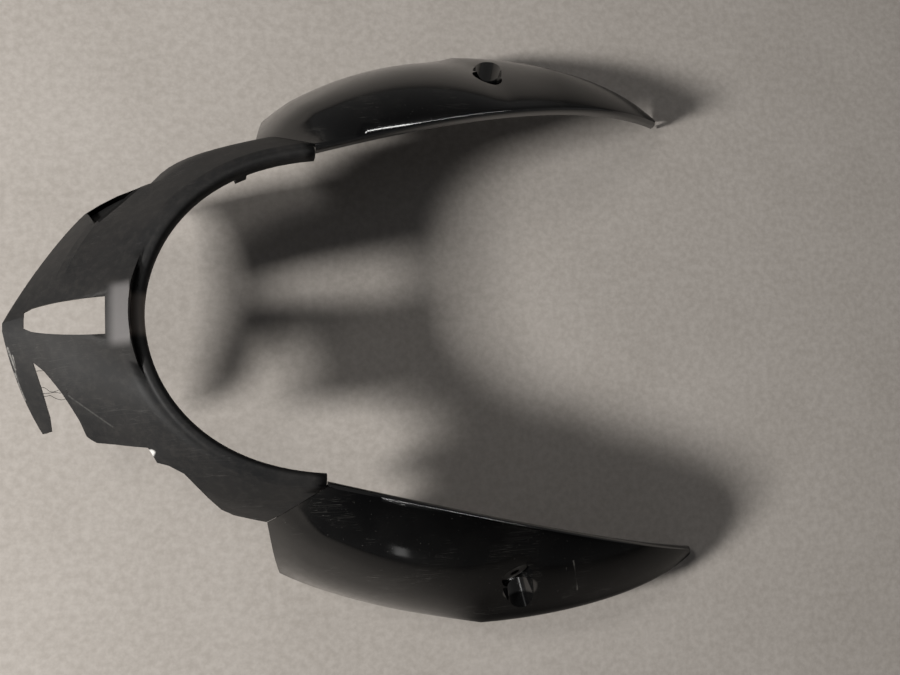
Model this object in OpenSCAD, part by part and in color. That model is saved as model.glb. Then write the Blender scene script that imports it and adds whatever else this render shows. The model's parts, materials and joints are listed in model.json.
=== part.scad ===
// Motorcycle belly pan: a U-shaped fairing of one matte centre cowl and two gloss side panels.
// It stands rim up on the lower edges of the side panels. The nose points to -X, the two arms to +X.
// The right-hand (-Y) side of the cowl is broken and stays broken.

/* [Overall] */
// Length from the nose to the tips of the arms
overall_l = 582; // [560:1:600]
// Height of the rim of the cowl above the ground
rim_z = 150; // [140:1:165]
// Wall thickness of the mouldings
wall = 2.8; // [2.4:0.1:3.4]

/* [Cowl] */
// Distance from the nose to the middle of the rim
rim_s = 102; // [98:1:106]
// Half width of the gap between the rim ends
rim_half_w = 118; // [114:1:122]
// Height of the nose tip
nose_z = 100; // [92:1:106]
// Height that the centre facet stands above the rim at its rear corners
crown_rise = 15; // [8:1:18]
// Half width of the centre facet at its rear corners
facet_half_w = 20; // [18:1:23]
// Width of the rounded lip around the rim
lip_w = 9; // [8:0.5:11]
// Depth of the flange that turns down inside the rim
lip_return = 9; // [7:0.5:12]
// Height of the crease in the side walls above the straight line
crease_h = 9; // [4:1:12]

// How far the prong on the broken side is bent forward
prong_bend = 14; // [8:1:18]

/* [Openings] */
// Half width of the triangular window at its base
window_half_w = 13.5; // [11:0.5:14]
// Distance from the nose to the base of the window
window_base_s = 76; // [72:1:79]
// Distance from the nose to the narrow front end of the window
window_tip_s = 16; // [14:1:20]
// Half width of the window at its front end
window_tip_half = 6; // [4:0.5:8]
// How far the narrow end of the window lies off the middle
window_skew = 3.5; // [0:0.5:5]
// Width of the side vent at its front end
vent_w = 21; // [17:0.5:23]
// Width of the frame between the vent and the lower edge
vent_frame = 1.8; // [1.4:0.1:2.4]
// Depth of the recess behind the vent
vent_depth = 13; // [10:1:18]
// Width of the clip tab under the rim
tab_w = 9; // [7:0.5:12]
// How far the clip tab hangs below the flange
tab_drop = 12; // [8:0.5:14]

/* [Side panels] */
// Half width over the lower edges of the panels
panel_half_w = 258; // [250:1:262]
// Distance from the nose to the front lower corner of a panel
front_s = 202; // [198:1:206]
// Distance from the nose to the corner in a panel's lower edge
corner_s = 366; // [355:1:375]
// Height of that corner above the ground
corner_z = 40; // [30:1:48]
// Depth of the flange that turns down inside the rim of a panel
panel_return = 10; // [8:0.5:12]
// Height of the bevel at the front end of a panel
front_bevel = 4; // [2:0.5:6]
// How far a panel's joint tongue reaches under the cowl
tongue_l = 20; // [16:1:24]

/* [Screw pockets] */
// Distance from the nose to the axis of a pocket
pocket_s = 390; // [382:1:398]
// Inner diameter of a pocket
pocket_d = 26; // [22:0.5:27]
// Diameter of the screw hole in the floor of a pocket
screw_hole_d = 6.5; // [5.5:0.1:7]
// Thickness of the pocket's floor
pocket_floor = 3; // [2.5:0.1:4]
// Upward tilt of the screw's axis
pocket_tilt = 27; // [20:1:32]
// How far the pocket turns towards the rear
pocket_yaw = 20; // [14:1:26]
// Downward slope of the trough below the pocket's floor
trough_fall = 28; // [22:1:32]

/* [Hidden] */
$fn = 48;

// Small vector helpers
function mix(a, b, t) = a + (b - a) * t;
function unit(v) = v / max(norm(v), 1e-6);
function bez(a, b, c, d, t) =
    pow(1 - t, 3) * a + 3 * pow(1 - t, 2) * t * b + 3 * (1 - t) * t * t * c + pow(t, 3) * d;
function sgn(i) = i < 0 ? -1 : 1;
function my(p, s) = [p[0], s * p[1], p[2]];

// Plan of the cowl's rim, from the middle (t = 0) to the joint (t = 1); s runs from the nose
joint_s = 227;
function rim2(t) = bez([rim_s, 0], [rim_s, 42], [rim_s + 28, rim_half_w - 10], [joint_s, rim_half_w], t);
function rimn(t) = let (d = unit(rim2(min(t + 0.01, 1)) - rim2(max(t - 0.01, 0)))) [-d[1], d[0]];
function lip2(t, w) = rim2(t) + w * rimn(max(t, 0.001));

// the rim's parameter at the corner of the centre facet
t_ridge = facet_half_w / 134;
crown_z = rim_z + crown_rise;
nose_half = 3;
edge_b = [53, 97, 56];
edge_c = [104, 112, 86];
edge_k = [187, 153, 84];
q_b = 0.46;
q_c = 0.62;
// the edge below the vent bows out
function vent_edge(t) = mix(edge_b, edge_c, t) + [-0.8, 2.8, 0] * sin(180 * t);
// lower edge of the cowl, from the nose (q = 0) to the joint (q = 1)
function edge(q) =
    q <= q_b ? bez([0, nose_half, nose_z], [14, 34, nose_z - 9], [36, 74, 72], edge_b, q / q_b)
    : q <= q_c ? vent_edge((q - q_b) / (q_c - q_b))
    : bez(edge_c, [118, 133, 88], [142, 141, 86], edge_k, (q - q_c) / (1 - q_c));

// Stations around the U: 0 is the middle, nk the joint
n_facet = 3;
n_side = 26;
nk = n_facet + n_side;
rows_lip = 6;
rows_wall = 13;
nr = rows_lip + rows_wall;
function st_t(i) = i <= n_facet ? t_ridge * i / n_facet : t_ridge + (1 - t_ridge) * (i - n_facet) / n_side;
function st_q(i) = max(0, (i - n_facet) / n_side);
function top_z(i) = rim_z + 3 + (crown_rise - 3) * pow(max(0, 1 - st_q(i) / 0.22), 2) * 1;
// lip profile: [outward, height over the rim]
lip_prof = [[0, -lip_return], [0, 0], [lip_w * 0.15, 3.4], [lip_w * 0.45, 4.8], [lip_w * 0.8, 4.2],
            [lip_w, 2.6]];
function crease(v) = v < 0.62 ? pow(v / 0.62, 0.85) : pow((1 - v) / 0.38, 0.9);
function cowl_pt0(i, j) =
    j < rows_lip
    ? let (p = lip2(st_t(i), lip_prof[j][0])) [p[0], p[1], rim_z + lip_prof[j][1]]
    : cowl_wall(i, (j - rows_lip) / (rows_wall - 1));
// the side wall at station i, from the lip (v = 0) to the lower edge (v = 1)
function cowl_wall(i, v) =
      let (q = st_q(i), a2 = lip2(st_t(i), lip_w + 1), a = [a2[0], a2[1], top_z(i)],
           b = i <= n_facet ? [0, nose_half * i / n_facet, nose_z] : edge(q),
           c = mix(a, b, v), out = unit([b[0] - a[0], b[1] - a[1], 0]),
           up = unit([out[0] * (a[2] - b[2]), out[1] * (a[2] - b[2]), norm([b[0] - a[0], b[1] - a[1]])]),
           amp = crease_h * sin(90 * min(1, q / 0.25)) * (1 - 0.35 * q))
      c + amp * crease(v) * up;
// the broken side's front prong is bent forward
function cowl_pt(i, j) =
    let (q = st_q(abs(i)), v = max(0, (j - rows_lip) / (rows_wall - 1)),
         bend = i < 0 && j >= rows_lip ? prong_bend * v * v * sin(180 * min(1, q / 0.8)) : 0)
    my(cowl_pt0(abs(i), j), sgn(i)) - [bend, bend * 0.35, 0];
function cowl_n(i, j) =
    unit(cross(cowl_pt(min(i + 1, nk), j) - cowl_pt(max(i - 1, -nk), j),
               cowl_pt(i, min(j + 1, nr - 1)) - cowl_pt(i, max(j - 1, 0))));

// closed skin from an outer grid and an inner grid of the same size (rows x columns)
module skin(outer, inner) {
    n = len(outer);
    m = len(outer[0]);
    k = n * m;
    function id(i, j) = i * m + j;
    pts = concat([for (i = [0:n - 1]) for (j = [0:m - 1]) outer[i][j]],
                 [for (i = [0:n - 1]) for (j = [0:m - 1]) inner[i][j]]);
    faces = concat(
        [for (i = [0:n - 2]) for (j = [0:m - 2]) each
            [[id(i, j), id(i, j + 1), id(i + 1, j + 1)], [id(i, j), id(i + 1, j + 1), id(i + 1, j)]]],
        [for (i = [0:n - 2]) for (j = [0:m - 2]) each
            [[k + id(i, j), k + id(i + 1, j + 1), k + id(i, j + 1)],
             [k + id(i, j), k + id(i + 1, j), k + id(i + 1, j + 1)]]],
        [for (i = [0:n - 2]) each
            [[id(i, 0), id(i + 1, 0), k + id(i + 1, 0)], [id(i, 0), k + id(i + 1, 0), k + id(i, 0)]]],
        [for (i = [0:n - 2]) each
            [[id(i, m - 1), k + id(i + 1, m - 1), id(i + 1, m - 1)],
             [id(i, m - 1), k + id(i, m - 1), k + id(i + 1, m - 1)]]],
        [for (j = [0:m - 2]) each
            [[id(0, j), k + id(0, j + 1), id(0, j + 1)], [id(0, j), k + id(0, j), k + id(0, j + 1)]]],
        [for (j = [0:m - 2]) each
            [[id(n - 1, j), id(n - 1, j + 1), k + id(n - 1, j + 1)],
             [id(n - 1, j), k + id(n - 1, j + 1), k + id(n - 1, j)]]]);
    polyhedron(points = pts, faces = faces, convexity = 8);
}

module cowl_skin() {
    out = [for (i = [-nk:nk]) [for (j = [0:nr - 1]) cowl_pt(i, j)]];
    inn = [for (i = [-nk:nk]) [for (j = [0:nr - 1]) cowl_pt(i, j) - wall * cowl_n(i, j)]];
    skin(out, inn);
}

function window_pt(t, side) =
    [mix(window_tip_s, window_base_s, t),
     window_skew * (1 - t) + side * mix(window_tip_half, window_half_w, pow(sin(90 * t), 0.53))];
module window_cut()
    translate([0, 0, rim_z - 90]) linear_extrude(120)
        polygon([for (t = [0:0.1:1]) window_pt(t, 1), for (t = [1:-0.1:0]) window_pt(t, -1)]);

// side vent in the intact wall: a triangle that narrows to the rear, with a shallow dark recess behind it
module vent_shape()
    polygon([for (t = [0.04:0.12:0.88]) let (p = vent_edge(t)) [p[0] + 0.6, p[1] - vent_frame],
             [edge_c[0] - 4, edge_c[1] - 2.6 - vent_frame * 0.3],
             [edge_b[0] + vent_w * 0.57, edge_b[1] - vent_w * 0.95]]);
// layer of the side wall between two depths under its surface
module wall_layer(d1, d2) {
    top = [for (i = [n_facet + 6:nk - 2]) [for (j = [rows_lip + 2:nr - 1]) cowl_pt(i, j) - [0, 0, d1]]];
    low = [for (i = [n_facet + 6:nk - 2]) [for (j = [rows_lip + 2:nr - 1]) cowl_pt(i, j) - [0, 0, d2]]];
    skin(top, low);
}
module vent_cut()
    intersection() {
        linear_extrude(rim_z) vent_shape();
        wall_layer(-6, vent_depth);
    }
module vent_recess()
    intersection() {
        linear_extrude(rim_z) offset(delta = vent_frame * 0.8) vent_shape();
        wall_layer(wall * 0.5, vent_depth + 2);
    }

// the broken side: a chunk of wall and the whole outer frame of the vent are gone
broken_edge = [[22, -27], [30, -34], [37, -43], [42, -50], [48, -60], [54, -71], [58, -82], [61, -84.5],
               [65, -87], [78, -89], [92, -91.5], [102, -93], [105, -98], [108, -104], [116, -106.5],
               [127, -113], [135, -122], [144, -132], [153, -141], [164, -147], [176, -156]];
module broken_cut()
    translate([0, 0, 20]) linear_extrude(140)
        polygon(concat(broken_edge, [[176, -175], [10, -150], [12, -80], [31, -76], [31, -66], [27, -46]]));

// small clip tab that hangs from the inner flange on the intact side
module rim_tab()
    let (p = rim2(0.78), n = rimn(0.78))
        translate([p[0], p[1], rim_z - lip_return - tab_drop]) rotate([0, 0, atan2(n[1], n[0])])
            translate([0.3, -tab_w / 2, 0]) cube([wall - 0.6, tab_w, tab_drop + lip_return / 2]);

module centre_cowl() color([0.17, 0.17, 0.175])
    difference() {
        union() {
            cowl_skin();
            vent_recess();
            rim_tab();
        }
        window_cut();
        vent_cut();
        broken_cut();
    }

// Side panel (left one; the right one is its mirror image)
panel_gap = 0.6;
tip_s = overall_l;
tip_half = 209;
np = 34;
rows_ret = 4;
rows_face = 14;
rows_joint = 7;
npr = rows_ret + rows_face;
function prim(w) =
    let (p = bez([joint_s + panel_gap, rim_half_w + lip_w], [340, 158], [470, 191],
                 [tip_s - 4, tip_half - 3], w))
    [p[0], p[1], rim_z + 1 - (rim_z - 9) * pow(max(0, (p[0] - joint_s) / (tip_s - joint_s)), 2.4)];
// the lower edge runs back from the front corner, arches up to a corner, then falls straight to the tip
w_corner = 0.47;
corner = [corner_s, panel_half_w - 8, corner_z];
function pedge(w) =
    w < w_corner
    ? let (t = w / w_corner, k = panel_half_w - 258)
      bez([front_s, 200, 0], [252, 228 + k * 0.6, 0], [320, 243 + k, corner_z * 0.3], corner, t)
    : let (t = (w - w_corner) / (1 - w_corner))
      bez(corner, mix(corner, [tip_s, tip_half + 4, 0], 0.34) + [0, 12, 24],
          mix(corner, [tip_s, tip_half + 4, 0], 0.74) + [0, 15, 26], [tip_s, tip_half + 4, 0], t);
function sup_n(w) = w < w_corner ? mix(1.18, 1.9, sin(180 * pow(w / w_corner, 0.8))) + 0.1 * w / w_corner
    : mix(1.28, 1.5, (w - w_corner) / (1 - w_corner));
// the free front edge below the cowl turns back to the lower corner
function front_pt(j) =
    let (f = j / rows_joint)
    f <= 1 ? cowl_wall(nk, f) + panel_gap * unit(cowl_wall(nk, f) - cowl_wall(nk - 1, f))
    : let (g = (j - rows_joint) / (rows_face - 1 - rows_joint))
      mix(front_pt(rows_joint), [front_s, 200, 0], g)
      + [0, 5, 2] * sin(180 * g);
function panel_pt(k, j) =
    j < rows_ret ? panel_sec(k, j)
    : panel_sec(k, j) + pow(max(0, 1 - k / np / 0.3), 2) * (front_pt(j - rows_ret) - panel_sec(0, j))
      + front_bevel * bevel_k(k) * sin(180 * pow((j - rows_ret) / (rows_face - 1), 0.7)) * [-0.25, 0.55, 0.8];
// the face steps up behind a sloping bevel at the front end, then runs out
function bevel_k(k) = k < 2 ? k / 2 : pow(max(0, 1 - (k - 2) / 10), 2);
function panel_sec(k, j) =
    let (w = k / np, a = prim(w), b = pedge(w), n = sup_n(w))
    j < rows_ret
    ? a + [[0, -3.2, -min(panel_return, a[2] - 1.2)], [0, -3.2, -3.4], [0, -2.4, -1.2], [0, -1, -0.3]][j]
    : let (v = (j - rows_ret) / (rows_face - 1), sy = pow(sin(90 * v), 2 / n), cz = pow(cos(90 * v), 2 / n),
           f = mix(1 - cz, sy, 0.5))
      [mix(a[0], b[0], f), mix(a[1], b[1], sy), mix(b[2], a[2], cz)];
function panel_n(k, j) =
    unit(cross(panel_pt(min(k + 1, np), j) - panel_pt(max(k - 1, 0), j),
               panel_pt(k, min(j + 1, npr - 1)) - panel_pt(k, max(j - 1, 0))));
module panel_skin() {
    out = [for (k = [0:np]) [for (j = [0:npr - 1]) panel_pt(k, j)]];
    inn = [for (k = [0:np]) [for (j = [0:npr - 1]) panel_pt(k, j) - wall * panel_n(k, j)]];
    skin(out, inn);
}

// tongue of the panel that lies under the end of the cowl
tongue_t = 2.2;
joint_clear = 0.2;
rows_tongue = 8;
tongue_back = 8;
function tongue_s(a) = nk - tongue_l / 8 * (1 - a);
function tongue_surf(a, b) =
    let (i = tongue_s(a), v = 0.14 + 0.7 * b, e = 0.02,
         p = cowl_wall(i, v),
         n = unit(cross(cowl_wall(i, v) - cowl_wall(i - 0.3, v), cowl_wall(i, v + e) - cowl_wall(i, v - e))))
    [p, n, unit(cowl_wall(i, v) - cowl_wall(i - 0.3, v))];
// columns: five under the cowl, then two that rise into the panel behind the joint
function tongue_pt(a, b, lay) =
    let (m = tongue_surf(min(a, 1), b), back = a > 1 ? (a - 1) * tongue_back : 0,
         sink = a <= 1 ? wall + joint_clear : wall - 1.2)
    m[0] + back * m[2] - (sink + lay * tongue_t) * m[1];
module tongue() {
    cols = [0, 0.25, 0.5, 0.75, 1, 1.3, 2.3];
    out = [for (a = cols) [for (b = [0:rows_tongue]) tongue_pt(a, b / rows_tongue, 0)]];
    inn = [for (a = cols) [for (b = [0:rows_tongue]) tongue_pt(a, b / rows_tongue, 1)]];
    skin(out, inn);
}

// the pocket lies at one place of the curved face: a flat floor with the screw hole, and a trough that runs
// down to the mouth
pocket_w = (pocket_s - joint_s) / (tip_s - joint_s);
pocket_k = np * pocket_w;
pocket_j = rows_ret + 0.45 * (rows_face - 1);
pocket_p = panel_pt(pocket_k, pocket_j);
trough_r = pocket_d / 2 - 0.5;
pocket_c = pocket_p + [2, -6.5, 1];
module at_floor()
    translate(pocket_c) rotate([0, 0, -pocket_yaw]) rotate([-90 + pocket_tilt, 0, 0]) children();
module at_trough()
    translate(pocket_c) rotate([0, 0, -pocket_yaw]) rotate([-90 - trough_fall, 0, 0])
        translate([0, 0, 11]) children();
// everything behind the middle of the panel's wall, around the pocket
module behind_face() {
    ks = [for (k = [floor(pocket_k) - 5:floor(pocket_k) + 6]) k];
    js = [rows_ret:npr - 1];
    skin([for (k = ks) [for (j = js) panel_pt(k, j) - wall / 2 * panel_n(k, j)]],
         [for (k = ks) [for (j = js) panel_pt(k, j) - [0, 23, 19]]]);
}
module pocket_body()
    intersection() {
        union() {
            at_floor() translate([0, 0, -pocket_floor]) cylinder(r = pocket_d / 2 + wall * 0.9, h = 40);
            at_trough() translate([0, 0, -9]) cylinder(r = trough_r + wall * 0.9, h = 60);
        }
        behind_face();
    }

module panel_raw()
    difference() {
        union() {
            panel_skin();
            tongue();
            pocket_body();
        }
        at_floor() cylinder(d = pocket_d, h = 60);
        at_trough() cylinder(r = trough_r, h = 60);
        at_floor() translate([0, 0, -pocket_floor - 1]) cylinder(d = screw_hole_d, h = pocket_floor + 2);
    }

module left_panel() color([0.05, 0.05, 0.055]) panel_raw();
module right_panel() color([0.05, 0.05, 0.055]) mirror([0, 1, 0]) panel_raw();

// origin at the middle of the footprint
module placed() translate([-overall_l / 2, 0, 0]) children();

placed() centre_cowl();
placed() left_panel();
placed() right_panel();
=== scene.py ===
import json
import math

import bmesh
import bpy
from mathutils import Matrix, Vector

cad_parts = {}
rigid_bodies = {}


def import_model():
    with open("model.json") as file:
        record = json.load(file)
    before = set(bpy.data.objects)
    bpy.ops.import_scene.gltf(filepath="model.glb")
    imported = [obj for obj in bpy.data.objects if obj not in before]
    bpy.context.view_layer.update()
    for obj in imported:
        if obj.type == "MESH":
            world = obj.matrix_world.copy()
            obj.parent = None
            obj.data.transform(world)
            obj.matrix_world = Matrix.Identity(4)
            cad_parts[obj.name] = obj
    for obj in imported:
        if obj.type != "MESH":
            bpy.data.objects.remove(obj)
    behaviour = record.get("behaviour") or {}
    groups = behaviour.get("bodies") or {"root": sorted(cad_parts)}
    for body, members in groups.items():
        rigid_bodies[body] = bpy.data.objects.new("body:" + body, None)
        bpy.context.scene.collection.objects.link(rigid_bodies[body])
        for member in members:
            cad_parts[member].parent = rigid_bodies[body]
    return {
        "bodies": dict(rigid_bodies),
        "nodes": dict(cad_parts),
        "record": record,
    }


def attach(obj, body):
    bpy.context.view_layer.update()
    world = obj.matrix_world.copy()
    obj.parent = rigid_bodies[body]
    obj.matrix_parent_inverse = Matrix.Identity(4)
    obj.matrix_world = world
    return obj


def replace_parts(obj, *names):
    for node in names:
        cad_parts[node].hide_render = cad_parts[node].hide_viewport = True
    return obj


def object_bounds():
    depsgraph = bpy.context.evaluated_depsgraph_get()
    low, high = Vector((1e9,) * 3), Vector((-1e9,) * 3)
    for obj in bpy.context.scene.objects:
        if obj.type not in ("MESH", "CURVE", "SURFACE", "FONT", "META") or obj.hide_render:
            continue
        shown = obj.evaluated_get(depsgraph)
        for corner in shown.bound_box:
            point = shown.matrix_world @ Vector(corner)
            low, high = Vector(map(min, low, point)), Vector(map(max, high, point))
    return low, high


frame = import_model()
cad_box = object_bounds()
root = "root" if "root" in frame["bodies"] else sorted(frame["bodies"])[0]

# The photograph in pixels: its size, its focal length, and the pixel straight below the camera
WIDTH, HEIGHT = 900, 675
FOCAL = 1000.0
NADIR = (200.0, 480.0)
ROLL = math.radians(-1.2)
# The camera's place in metres, and its sensor's width in millimetres
EYE = Vector((-0.153, -0.118, 0.880))
SENSOR = 36.0


def camera():
    """above the front of the pan, looking almost straight down"""
    down = Vector(((NADIR[0] - WIDTH / 2) / FOCAL, (NADIR[1] - HEIGHT / 2) / FOCAL, 1)).normalized()
    up = Vector((math.sin(ROLL), -math.cos(ROLL), 0))
    y = (up - down * up.dot(down)).normalized()
    # x, y and -down are the world's axes in the camera's pixels (right, down, forward)
    right, below, forward = Matrix((y.cross(-down), y, -down)).transposed()
    place = Matrix((right, -below, -forward)).transposed().to_4x4()
    place.translation = EYE
    data = bpy.data.cameras.new("camera")
    data.sensor_width = SENSOR
    data.lens = FOCAL / WIDTH * SENSOR
    data.clip_start = 0.01
    cam = bpy.data.objects.new("camera", data)
    cam.matrix_world = place
    bpy.context.scene.collection.objects.link(cam)
    bpy.context.scene.camera = cam


class Tree:
    """a small helper for material nodes; all coordinates are the object's own, in metres"""

    def __init__(self, name):
        self.mat = bpy.data.materials.new(name)
        self.mat.use_nodes = True
        self.t = self.mat.node_tree
        self.t.nodes.clear()
        self.out = self.n("ShaderNodeOutputMaterial")
        self.coord = self.n("ShaderNodeTexCoord").outputs["Object"]

    def n(self, kind, **props):
        node = self.t.nodes.new(kind)
        for k, v in props.items():
            setattr(node, k, v)
        return node

    def put(self, socket, v):
        if isinstance(v, bpy.types.NodeSocket):
            self.t.links.new(v, socket)
        elif v is not None:
            socket.default_value = v

    def noise(self, scale, detail, rough, vec=None):
        a = self.n("ShaderNodeTexNoise")
        self.put(a.inputs["Vector"], vec or self.coord)
        self.put(a.inputs["Scale"], scale)
        self.put(a.inputs["Detail"], detail)
        self.put(a.inputs["Roughness"], rough)
        return a.outputs["Fac"]

    def ramp(self, fac, start, end, low=0.0, high=1.0):
        """grey that goes from low to high while fac goes from start to end"""
        a = self.n("ShaderNodeValToRGB")
        self.put(a.inputs["Fac"], fac)
        for stop, place, grey in zip(a.color_ramp.elements, (start, end), (low, high)):
            stop.position = place
            stop.color = (grey, grey, grey, 1)
        return a.outputs["Color"]

    def math(self, op, a, b=None, c=None):
        m = self.n("ShaderNodeMath", operation=op)
        for i, v in enumerate((a, b, c)):
            if v is not None:
                self.put(m.inputs[i], v)
        return m.outputs[0]

    def times(self, *parts):
        out = parts[0]
        for p in parts[1:]:
            out = self.math("MULTIPLY", out, p)
        return out

    def top(self, *parts):
        out = parts[0]
        for p in parts[1:]:
            out = self.math("MAXIMUM", out, p)
        return out

    def inverse(self, a):
        return self.math("SUBTRACT", 1.0, a)

    def vmath(self, op, a, b=None, out="Vector"):
        m = self.n("ShaderNodeVectorMath", operation=op)
        self.put(m.inputs[0], a)
        if b is not None:
            self.put(m.inputs["Scale"] if op == "SCALE" else m.inputs[1], b)
        return m.outputs[out]

    def distance(self, point):
        return self.vmath("LENGTH", self.vmath("SUBTRACT", self.coord, tuple(point)), out="Value")

    def mix(self, fac, a, b):
        m = self.n("ShaderNodeMix", data_type="RGBA")
        self.put(m.inputs["Factor"], fac)
        for i, v in ((6, a), (7, b)):
            self.put(m.inputs[i], (*v, 1) if isinstance(v, tuple) else v)
        return m.outputs[2]

    def band(self, value, edge, soft):
        """1 below edge, 0 above edge + soft"""
        m = self.n("ShaderNodeMapRange", interpolation_type="SMOOTHSTEP")
        self.put(m.inputs["Value"], value)
        self.put(m.inputs["From Min"], edge)
        self.put(m.inputs["From Max"], edge + soft)
        self.put(m.inputs["To Min"], 1.0)
        self.put(m.inputs["To Max"], 0.0)
        return m.outputs[0]

    def side(self, point, normal, soft=0.0006):
        """1 on the side of a line in plan that normal points to"""
        n = Vector((*normal, 0)).normalized()
        d = self.vmath("DOT_PRODUCT", self.vmath("SUBTRACT", self.coord, (*point, 0)), tuple(n), "Value")
        return self.band(self.math("MULTIPLY", d, -1.0), 0.0, soft)

    def patch(self, front, rear, half, fades):
        """1 in a rectangle in plan about the middle; fades: how softly its front, rear and sides end"""
        ahead, behind, beside = fades
        return self.times(self.side((front, 0), (1, 0), ahead), self.side((rear, 0), (-1, 0), behind),
                          self.side((0, half), (0, -1), beside), self.side((0, -half), (0, 1), beside))

    def hairlines(self, scale, angle, width, stretch, gate_scale, low, seed):
        """fine straight scratches: thin crests of a noise that is long in one direction"""
        m = self.n("ShaderNodeMapping")
        self.put(m.inputs["Vector"], self.coord)
        self.put(m.inputs["Scale"], (scale / stretch, scale, scale / stretch))
        self.put(m.inputs["Rotation"], (0, 0, angle))
        v = self.vmath("ADD", m.outputs["Vector"], (seed * 3.1, seed * 1.7, seed * 2.3))
        crest = self.math("ABSOLUTE", self.math("SUBTRACT", self.noise(1.0, 1.0, 0.4, v), 0.5))
        gate = self.noise(gate_scale, 2.0, 0.5, self.vmath("ADD", self.coord, (seed, seed, seed)))
        return self.times(self.band(crest, 0.0, width), self.ramp(gate, low, low + 0.08))

    def stroke(self, a, b, width, fade=0.6):
        """one scratch from point a to point b"""
        a, b = Vector(a), Vector(b)
        d = b - a
        way = tuple(d.normalized())
        rel = self.vmath("SUBTRACT", self.coord, tuple(a))
        along = self.math("MAXIMUM", self.vmath("DOT_PRODUCT", rel, way, "Value"), 0.0)
        foot = self.vmath("SCALE", way, self.math("MINIMUM", along, d.length))
        off = self.vmath("LENGTH", self.vmath("SUBTRACT", rel, foot), out="Value")
        wob = self.ramp(self.noise(420.0, 2.0, 0.6), 0.38, 0.55, 1.0 - fade, 1.0)
        return self.times(self.band(off, width * 0.4, width), wob)

    def spot(self, centre, radius, soft, squash):
        """a ragged patch about a point"""
        rel = self.vmath("MULTIPLY", self.vmath("SUBTRACT", self.coord, centre), squash)
        wob = self.math("MULTIPLY_ADD", self.noise(260.0, 3.0, 0.6), soft * 1.4, -soft * 0.7)
        return self.band(self.math("ADD", self.vmath("LENGTH", rel, out="Value"), wob), radius, soft)

    def bump(self, height, strength, distance, normal=None):
        b = self.n("ShaderNodeBump")
        self.put(b.inputs["Height"], height)
        self.put(b.inputs["Strength"], strength)
        self.put(b.inputs["Distance"], distance)
        self.put(b.inputs["Normal"], normal)
        return b.outputs["Normal"]

    def bsdf(self, **kw):
        b = self.n("ShaderNodeBsdfPrincipled")
        for k, v in kw.items():
            self.put(b.inputs[k.replace("_", " ")], v)
        self.t.links.new(b.outputs[0], self.out.inputs["Surface"])
        return self.mat


# Places on the cowl in metres. The rear edge of the centre facet, where the lip begins:
FACET_REAR = -0.1985
# Scuffs along the outer edge of the bent prong: two ends and a width
PRONG_SCUFFS = (((-0.2876, -0.0150, 0.0975), (-0.2825, -0.0300, 0.093), 0.0010),
                ((-0.2862, -0.0200, 0.0965), (-0.2785, -0.0440, 0.087), 0.0008),
                ((-0.2842, -0.0206, 0.0977), (-0.2766, -0.0470, 0.086), 0.0007),
                ((-0.2835, -0.0330, 0.091), (-0.2775, -0.0520, 0.083), 0.0008))
# Ends of the crease beside the break, along which a highlight is painted
CREASE = ((-0.2435, -0.0528, 0.1159), (-0.2133, -0.0766, 0.1200))
# The corner of the break that is white with stress
WHITE_CORNER = (-0.1862, -0.0968, 0.1235)
# The sides of the vent in plan: a point and the direction of its inside
VENT_SIDES = (((-0.2242, 0.0757), (-0.67, 0.74)),
              ((-0.2357, 0.0955), (0.80, 0.60)),
              ((-0.1885, 0.110), (-1, 0)))


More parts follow.
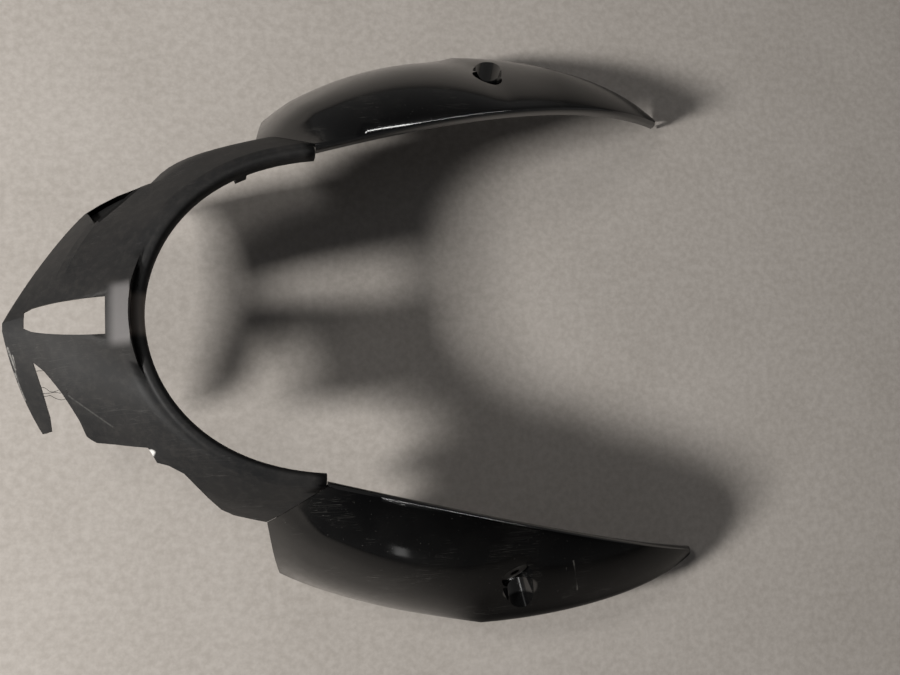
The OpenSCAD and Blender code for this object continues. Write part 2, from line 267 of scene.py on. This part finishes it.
def cowl_material():
    """moulded dark grey plastic: satin, dusty, scuffed near the break, with painted highlights on the
    facet, the lip's middle and the crease, and near-black painted shade inside the vent
    """
    t = Tree("cowl_matte")
    cloud = t.ramp(t.noise(16.0, 6.0, 0.62), 0.36, 0.70)
    fine_dust = t.ramp(t.noise(150.0, 4.0, 0.7), 0.46, 0.74)
    col = t.mix(cloud, (0.0105, 0.0108, 0.0115), (0.021, 0.020, 0.0195))
    col = t.mix(t.times(fine_dust, 0.28), col, (0.055, 0.051, 0.047))
    lines = t.top(t.hairlines(620.0, 0.55, 0.014, 22.0, 26.0, 0.56, 1.0),
                  t.hairlines(480.0, -0.65, 0.012, 20.0, 22.0, 0.58, 2.0),
                  t.hairlines(700.0, 1.3, 0.012, 26.0, 30.0, 0.60, 3.0))
    col = t.mix(t.times(lines, 0.16), col, (0.15, 0.145, 0.14))
    # painted highlight: the facet behind the window is painted paler, standing in for the sheen it
    # catches from the low lamp
    facet = t.patch(-0.2065, FACET_REAR, 0.0165, (0.009, 0.001, 0.009))
    col = t.mix(t.times(facet, 0.66), col, (0.178, 0.170, 0.170))
    # painted light: the middle of the lip is painted pale brown, standing in for light that the lamps do
    # not bring to it
    lip = t.patch(FACET_REAR + 0.001, -0.1875, 0.0110, (0.001, 0.002, 0.007))
    col = t.mix(t.times(lip, 0.90), col, (0.330, 0.285, 0.250))
    # painted highlight: a faint pale line is drawn along the crease, because the modelled crease is too
    # soft to catch the light
    crease = t.stroke(*CREASE, 0.0008)
    # the scuffs along the prong are real wear; the faint crease line among them is a painted highlight
    scuffs_and_crease_highlight = t.top(*(t.stroke(*scuff) for scuff in PRONG_SCUFFS), t.times(crease, 0.20))
    col = t.mix(t.times(scuffs_and_crease_highlight, 0.55), col, (0.34, 0.33, 0.31))
    burst = t.spot(WHITE_CORNER, 0.0016, 0.0018, (1, 1, 0.5))
    col = t.mix(t.times(burst, 0.9), col, (0.78, 0.77, 0.75))
    # painted shade: the inside of the vent is painted near black, standing in for the deep shade in the
    # recess
    vent = t.times(*(t.side(*line) for line in VENT_SIDES))
    col = t.mix(vent, col, (0.0015, 0.0015, 0.0015))
    rough = t.math("MULTIPLY_ADD", cloud, 0.12, 0.52)
    rough = t.math("MULTIPLY_ADD", vent, 0.5, rough)
    nrm = t.bump(t.noise(1500.0, 2.0, 0.5), 0.22, 0.00012)
    nrm = t.bump(t.noise(9.0, 3.0, 0.5), 0.25, 0.0035, nrm)
    nrm = t.bump(t.times(lines, -1.0), 0.25, 0.0002, nrm)
    return t.bsdf(Base_Color=col, Roughness=rough, Specular_IOR_Level=0.20, Normal=nrm)


# The right screw hole, and places on the panels in metres: the middle of the right pocket
HOLE = next(mount["pos_m"] for mount in frame["record"]["mounts"] if mount["name"] == "right_screw")
POCKET = (0.0965, -0.2190, 0.0880)
# Ends of the long scratch behind the right pocket, and of the nick before it
SCRATCH = ((0.1382, -0.1986, 0.1025), (0.1503, -0.2253, 0.0750))
NICK = ((0.1330, -0.2040, 0.0990), (0.1350, -0.2120, 0.0900))
# Specular level of each panel's front part
SHINE_RIGHT, SHINE_LEFT = 0.28, 0.70


def panel_shine(t):
    """the specular level that gives the photograph's reflections, which fade towards the tips"""
    left = t.side((0, 0), (0, 1))
    rear_right = t.side((0.075, 0), (1, 0), 0.11)
    rear_left = t.side((0.168, 0), (1, 0), 0.050)
    rear = t.top(t.times(rear_left, left), t.times(rear_right, t.inverse(left)))
    normal = t.n("ShaderNodeSeparateXYZ")
    t.put(normal.inputs[0], t.n("ShaderNodeNewGeometry").outputs["Normal"])
    flank = t.band(normal.outputs["Z"], 0.50, 0.30)
    dull = t.times(rear, t.math("MULTIPLY_ADD", flank, 0.36, 0.62))
    shine = t.math("MULTIPLY_ADD", left, SHINE_LEFT - SHINE_RIGHT, SHINE_RIGHT)
    shine = t.times(shine, t.inverse(dull))
    pocket = t.band(t.distance(POCKET), 0.0125, 0.003)
    # the rim is bright in the photograph; it is where the surface turns inwards
    inward = t.times(normal.outputs["Y"], t.math("MULTIPLY_ADD", left, -2.0, 1.0))
    return t.top(shine, pocket, t.inverse(t.band(inward, 0.02, 0.08)))


def gloss_material():
    """gloss black plastic with a soft wave in its reflections, a little dust and fine scratches"""
    t = Tree("panel_gloss")
    cloud = t.ramp(t.noise(13.0, 6.0, 0.62), 0.42, 0.80)
    specks = t.ramp(t.noise(520.0, 2.0, 0.6), 0.70, 0.76)
    lines = t.top(t.hairlines(1000.0, 0.10, 0.014, 40.0, 22.0, 0.55, 4.0),
                  t.hairlines(800.0, 1.35, 0.012, 34.0, 26.0, 0.58, 5.0))
    col = t.mix(cloud, (0.0028, 0.0028, 0.0030), (0.0075, 0.0073, 0.0070))
    marks = t.top(t.times(lines, 0.35), t.times(specks, 0.5),
                  t.stroke(*SCRATCH, 0.0007), t.times(t.stroke(*NICK, 0.0005), 0.6))
    col = t.mix(t.times(marks, 0.5), col, (0.20, 0.195, 0.18))
    # a paler ring round the right screw hole
    gap = t.distance(HOLE)
    ring = t.times(t.band(gap, 0.0105, 0.0015), t.inverse(t.band(gap, 0.0035, 0.001)))
    col = t.mix(t.times(ring, 0.8), col, (0.115, 0.112, 0.105))
    rough = t.math("MULTIPLY_ADD", cloud, 0.10, 0.10)
    rough = t.math("MULTIPLY_ADD", ring, 0.25, rough)
    rough = t.math("MULTIPLY_ADD", marks, 0.25, rough)
    nrm = t.bump(t.noise(12.0, 1.0, 0.5), 0.16, 0.0016)
    nrm = t.bump(t.times(lines, -1.0), 0.2, 0.00015, nrm)
    return t.bsdf(Base_Color=col, Roughness=rough, Specular_IOR_Level=panel_shine(t), Normal=nrm)


MATS = {"cowl": cowl_material(), "panel": gloss_material()}


def placed(name, bm, slot):
    """a finished mesh as a piece of the part, smooth shaded, in a slot's material"""
    mesh = bpy.data.meshes.new(name)
    bm.to_mesh(mesh)
    bm.free()
    for face in mesh.polygons:
        face.use_smooth = True
    mesh.materials.append(MATS[slot])
    ob = bpy.data.objects.new(name, mesh)
    bpy.context.scene.collection.objects.link(ob)
    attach(ob, root)
    return ob


def dressed(node, slot, sharp):
    """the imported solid, welded; sharp(angle, middle, length) says which edges stay hard"""
    bm = bmesh.new()
    bm.from_mesh(frame["nodes"][node].data)
    bmesh.ops.remove_doubles(bm, verts=bm.verts, dist=2e-6)
    bmesh.ops.dissolve_degenerate(bm, edges=bm.edges, dist=1e-6)
    bm.normal_update()
    for face in bm.faces:
        face.material_index = 0
    for edge in bm.edges:
        angle = math.degrees(edge.calc_face_angle(0.0))
        middle = (edge.verts[0].co + edge.verts[1].co) / 2
        edge.smooth = len(edge.link_faces) == 2 and not sharp(angle, middle, edge.calc_length())
    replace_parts(placed(node + "_shell", bm, slot), node)


def cowl_sharp(angle, middle, length):
    """the lip stays round; the walls keep their crease, the ridges of the facet and every cut edge"""
    lip_bottom, rim_front = 0.1485, -0.19
    smallest_crease, shortest_crease = 6.5, 0.003
    if middle.z > lip_bottom:
        return angle > 100
    crease = angle > smallest_crease and length > shortest_crease and middle.x < rim_front
    return angle > 24 or crease


def panel_sharp(angle, middle, _length):
    """the rim stays round; the pocket keeps its cut edges"""
    pocket = Vector((0.095, 0.215, 0.090))
    near = (pocket - Vector((middle.x, abs(middle.y), middle.z))).length < 0.045
    return angle > (22 if near else 48)


# Each strand: its end on the prong, its end on the wall, and how far it waves
STRANDS = (((-0.2672, -0.0337, 0.1057), (-0.2610, -0.0337, 0.1115), 0.0007),
           ((-0.2643, -0.0447, 0.0976), (-0.2455, -0.0492, 0.1165), 0.0016),
           ((-0.2634, -0.0493, 0.0997), (-0.2449, -0.0506, 0.1162), 0.0010),
           ((-0.2629, -0.0514, 0.0980), (-0.2437, -0.0542, 0.1149), 0.0020))
STRAND_R = 0.0002
# How far each end is sunk in the plastic
STRAND_SUNK = 0.0012


def tube(bm, centres, u, v, r, sides=6):
    """a closed tube through the centres, with every ring in the plane of u and v"""
    turns = [math.tau * k / sides for k in range(sides)]
    rings = [[bm.verts.new(c + (u * math.cos(a) + v * math.sin(a)) * r) for a in turns] for c in centres]
    for p, q in zip(rings, rings[1:]):
        for k in range(sides):
            after = (k + 1) % sides
            bm.faces.new((p[k], p[after], q[after], q[k]))
    bm.faces.new(rings[0][::-1])
    bm.faces.new(rings[-1])


def fibres(steps=14):
    """thin strands of the torn moulding that still bridge the break"""
    bm = bmesh.new()
    for n, (prong, wall, wave) in enumerate(STRANDS):
        a, b = Vector(prong), Vector(wall)
        d = (b - a).normalized()
        a, b = a - d * STRAND_SUNK, b + d * STRAND_SUNK
        u = d.orthogonal().normalized()
        v = d.cross(u)
        centres = []
        for f in (i / steps for i in range(steps + 1)):
            sway = u * math.sin(7 * f + 1.7 * n) + v * math.cos(5 * f + n)
            centres.append(a.lerp(b, f) + sway * (wave * math.sin(math.pi * f)))
        tube(bm, centres, u, v, STRAND_R)
    bm.normal_update()
    placed("break_fibres", bm, "cowl")


def floor(half=6.0):
    t = Tree("floor_pale")
    speck = t.ramp(t.noise(150.0, 4.0, 0.65), 0.36, 0.64)
    blotch = t.ramp(t.noise(9.0, 4.0, 0.6), 0.3, 0.7)
    col = t.mix(t.math("MULTIPLY_ADD", blotch, 0.35, t.times(speck, 0.65)),
                (0.435, 0.398, 0.362), (0.560, 0.520, 0.482))
    mesh = bpy.data.meshes.new("floor")
    corners = [(-half, -half, 0), (half, -half, 0), (half, half, 0), (-half, half, 0)]
    mesh.from_pydata(corners, [], [(0, 1, 2, 3)])
    mesh.materials.append(t.bsdf(Base_Color=col, Roughness=0.9))
    ob = bpy.data.objects.new("floor", mesh)
    ob.location.z = cad_box[0][2] - 0.0002
    bpy.context.scene.collection.objects.link(ob)


def area(name, loc, target, size, power, color):
    light = bpy.data.lights.new(name, "AREA")
    light.shape = "RECTANGLE"
    light.size, light.size_y = size
    light.energy = power
    light.color = color
    ob = bpy.data.objects.new(name, light)
    ob.location = loc
    ob.rotation_euler = (Vector(target) - Vector(loc)).to_track_quat("-Z", "Y").to_euler()
    bpy.context.scene.collection.objects.link(ob)
    return ob


def lamps():
    """two lamps light the scene from the nose's side; strip and kicker only draw lines in the gloss"""
    middle, warm, white = (0, 0, 0.05), (1.0, 0.98, 0.95), (1.0, 0.99, 0.97)
    area("key_low", (-2.3, -0.48, 1.35), middle, (0.36, 0.36), 90, warm)
    area("key_high", (-1.5, 0.75, 1.90), middle, (0.5, 0.5), 8, warm)
    strip = area("strip", (0.8, 0.32, 1.45), (0.8, 0.32, 0), (2.4, 0.04), 9.0, white)
    # laid along X
    strip.rotation_euler = (0, 0, 0)
    kicker = area("kicker", (-0.031, -1.375, 0.382), (0.102, -0.223, 0.075), (0.10, 0.25), 0.22, white)
    strip.visible_diffuse = kicker.visible_diffuse = False


def sky(strength=0.36):
    """a plain world, paler at the horizon than overhead"""
    horizon, overhead = (0.42, 0.41, 0.40), (0.10, 0.10, 0.105)
    world = bpy.data.worlds.new("studio")
    world.use_nodes = True
    tree = world.node_tree
    split = tree.nodes.new("ShaderNodeSeparateXYZ")
    tree.links.new(tree.nodes.new("ShaderNodeTexCoord").outputs["Generated"], split.inputs[0])
    ramp = tree.nodes.new("ShaderNodeValToRGB")
    tree.links.new(split.outputs["Z"], ramp.inputs["Fac"])
    for stop, place, colour in zip(ramp.color_ramp.elements, (0.0, 0.75), (horizon, overhead)):
        stop.position = place
        stop.color = (*colour, 1)
    background = tree.nodes["Background"]
    tree.links.new(ramp.outputs["Color"], background.inputs["Color"])
    background.inputs["Strength"].default_value = strength
    bpy.context.scene.world = world


camera()
dressed("centre_cowl", "cowl", cowl_sharp)
dressed("left_panel", "panel", panel_sharp)
dressed("right_panel", "panel", panel_sharp)
fibres()
floor()
lamps()
sky()
bpy.context.scene.view_settings.view_transform = "Standard"
